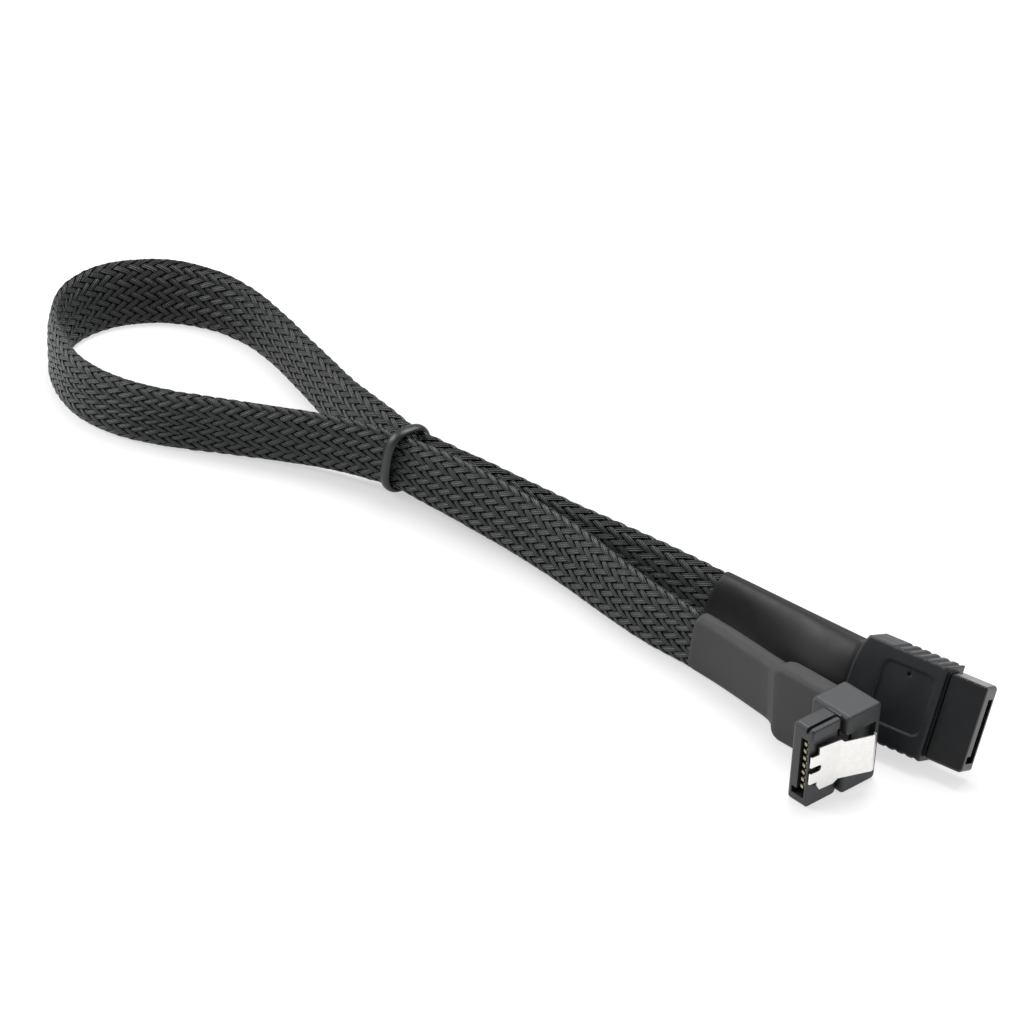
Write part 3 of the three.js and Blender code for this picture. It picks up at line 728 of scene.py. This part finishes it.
def make_waist(name, at, inset, half_thick, half_high):
    """The waist of a nose, inset a little where it enters the plug's body."""
    along = np.linspace(WAIST_FROM, WAIST_TO, 3)
    centre = np.array([at(x, half_thick + inset, NOSE_MIDDLE) for x in along])
    side = np.array([at(0, 1, 0) - at(0, 0, 0)] * 3) / MM
    high = np.array([at(0, 0, 1) - at(0, 0, 0)] * 3) / MM
    half_thick, half_high, radius = (
        np.ones(3) * v * MM for v in (half_thick, half_high, WAIST_RADIUS))
    return shade_flat(lofted(name, centre, side, high, half_thick, half_high, radius))


angled_shrink = make_angled_shrink()
dress(angled_shrink, SHRINK_NEAR)
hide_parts("angled_heat_shrink")
straight_shrink = make_straight_shrink()
dress(straight_shrink, SHRINK_FAR)
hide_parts("straight_heat_shrink")

dress(make_waist("straight_plug_waist", on_plug, 0.015, 1.95, 6.90), WAIST_FAR)
dress(make_waist("angled_plug_waist", on_angled, 0.15, 1.65, 6.75), WAIST_NEAR)

CONTACTS = 7
TIP_POINTS = 14
TIP_FORWARD = 0.40 * MM
TIP_LENGTH = 1.5 * MM
TIP_BOW = 0.70 * MM
TIP_INSET = 0.16 * MM


def make_contact_tip(number):
    """The bowed end of a contact, standing proud of the slot's wall."""
    low, high = (np.array(p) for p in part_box("angled_contact_%d" % number))
    u = np.linspace(0, 1, TIP_POINTS)
    y = low[1] - TIP_FORWARD + TIP_LENGTH * u
    bow = high[0] - 0.15 * MM - TIP_BOW * np.sin(np.pi * u**0.55)
    wall = np.full(TIP_POINTS, high[0] - 0.03 * MM)
    z0, z1 = low[2] + TIP_INSET, high[2] - TIP_INSET
    corners = [(bow, z0), (bow, z1), (wall, z1), (wall, z0)]
    rings = np.stack([np.stack([x, y, np.full(TIP_POINTS, z)], 1) for x, z in corners], 1)
    return shade_flat(tube_mesh("angled_contact_tip_%d" % number, rings[None]))


for number in range(1, CONTACTS + 1):
    dress(make_contact_tip(number), TIP)


def make_ring():
    """A rubber band drawn to an oval by the two runs that it holds."""
    a = np.linspace(0, 2 * np.pi, BAND_POINTS[0], endpoint=False)
    x = RING_HALF[0] * bent(np.cos(a), RING_POWER)
    z = RING_HALF[1] * bent(np.sin(a), RING_POWER)
    line = RING_CENTRE + x[:, None] * RING_SIDE + z[:, None] * (UP + RING_TILT * RING_AXIS)
    way = unit(np.roll(line, -1, axis=0) - np.roll(line, 1, axis=0))
    out = np.cross(way, RING_AXIS)
    b = np.linspace(0, 2 * np.pi, BAND_POINTS[1], endpoint=False)
    rings = (line[:, None] + BAND_HALF_THICK * np.cos(b)[None, :, None] * out[:, None]
             + BAND_HALF_WIDE * np.sin(b)[None, :, None] * RING_AXIS)
    count, ring = rings.shape[:2]
    index = np.arange(count * ring).reshape(count, ring)
    nxt, turned = np.roll(index, -1, axis=0), np.roll(index, -1, axis=1)
    quads = np.stack([index, nxt, np.roll(nxt, -1, axis=1), turned], -1).reshape(-1, 4)
    return add_piece("rubber_band", rings.reshape(-1, 3).tolist(), quads.tolist())


ring = make_ring()
dress(ring, RUBBER)
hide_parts("rubber_ring")

tuple(sleeve.c[0])
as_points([tuple(p) for p in sleeve.c[::12]] + [tuple(sleeve.c[-1])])

# CAD pieces that keep their shape
CAD_MATERIALS = {
    "straight_plug_grip": OVERMOULD,
    "straight_plug_nose": NOSE_FAR,
    "angled_plug_body": BLOCK,
    "angled_plug_nose": NOSE_NEAR,
    "latch_clip": STEEL,
}
for name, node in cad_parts.items():
    material = GOLD if "contact" in name else CAD_MATERIALS.get(name)
    if material:
        use_material(node, material)

# Floor, world and lamps
FLOOR_HALF = 4.0
FLOOR_DROP = 0.05 * MM
FLOOR_GREY = 0.42
PAINTED_SHADOW_MIDDLE = (-0.07, 0, 0)
GLOW_IN_PAINTED_SHADOW = 0.465
GLOW_RISE = 2.1
GLOW_MOST = 0.75
WORLD_STRENGTH = 0.36


def make_floor():
    """A pale floor, glowing to the camera and in reflections, with a painted shadow round the
    cable: it glows less near the cable and whiter away from it.
    """
    mesh = bpy.data.meshes.new("floor")
    r = FLOOR_HALF
    mesh.from_pydata([(-r, -r, 0), (r, -r, 0), (r, r, 0), (-r, r, 0)], [], [(0, 1, 2, 3)])
    floor = bpy.data.objects.new("floor", mesh)
    floor.location.z = -FLOOR_DROP
    scene.collection.objects.link(floor)
    material = bpy.data.materials.new("floor")
    material.use_nodes = True
    nodes, links = material.node_tree.nodes, material.node_tree.links
    nodes.clear()
    out = nodes.new("ShaderNodeOutputMaterial")
    both = nodes.new("ShaderNodeAddShader")
    matt = nodes.new("ShaderNodeBsdfDiffuse")
    matt.inputs["Color"].default_value = (FLOOR_GREY, FLOOR_GREY, FLOOR_GREY, 1)
    glow = nodes.new("ShaderNodeEmission")
    ray = nodes.new("ShaderNodeLightPath").outputs
    seen = math_node(nodes, links, "MAXIMUM", ray["Is Camera Ray"], ray["Is Glossy Ray"])
    seen = math_node(nodes, links, "MAXIMUM", seen, ray["Is Transmission Ray"])
    # Painted shadow: the glow grows with distance from the cable's middle, up to a top value
    place = nodes.new("ShaderNodeTexCoord")
    away = nodes.new("ShaderNodeVectorMath")
    away.operation = "DISTANCE"
    away.inputs[1].default_value = PAINTED_SHADOW_MIDDLE
    links.new(place.outputs["Object"], away.inputs[0])
    glow_past_painted_shadow = math_node(nodes, links, "MULTIPLY", away.outputs["Value"], GLOW_RISE)
    glow_past_painted_shadow = math_node(nodes, links, "ADD", glow_past_painted_shadow, GLOW_IN_PAINTED_SHADOW)
    glow_past_painted_shadow = math_node(nodes, links, "MINIMUM", glow_past_painted_shadow, GLOW_MOST)
    links.new(math_node(nodes, links, "MULTIPLY", seen, glow_past_painted_shadow), glow.inputs["Strength"])
    links.new(matt.outputs[0], both.inputs[0])
    links.new(glow.outputs[0], both.inputs[1])
    links.new(both.outputs[0], out.inputs["Surface"])
    floor.data.materials.append(material)


def make_world():
    world = bpy.data.worlds.new("studio")
    world.use_nodes = True
    background = world.node_tree.nodes["Background"]
    background.inputs["Color"].default_value = (1, 1, 1, 1)
    background.inputs["Strength"].default_value = WORLD_STRENGTH
    scene.world = world


def soft_lamp(name, place, aim, size, power):
    data = bpy.data.lights.new(name, "AREA")
    data.shape = "DISK"
    data.size = size
    data.energy = power
    lamp = bpy.data.objects.new(name, data)
    lamp.location = place
    lamp.rotation_euler = (Vector(aim) - Vector(place)).to_track_quat("-Z", "Y").to_euler()
    scene.collection.objects.link(lamp)


make_floor()
make_world()
soft_lamp("top_lamp", (-0.25, 0.35, 0.9), (-0.05, 0, 0), 0.7, 9)
soft_lamp("side_lamp", (-0.75, -0.45, 0.45), (-0.08, 0, 0), 0.6, 5.5)
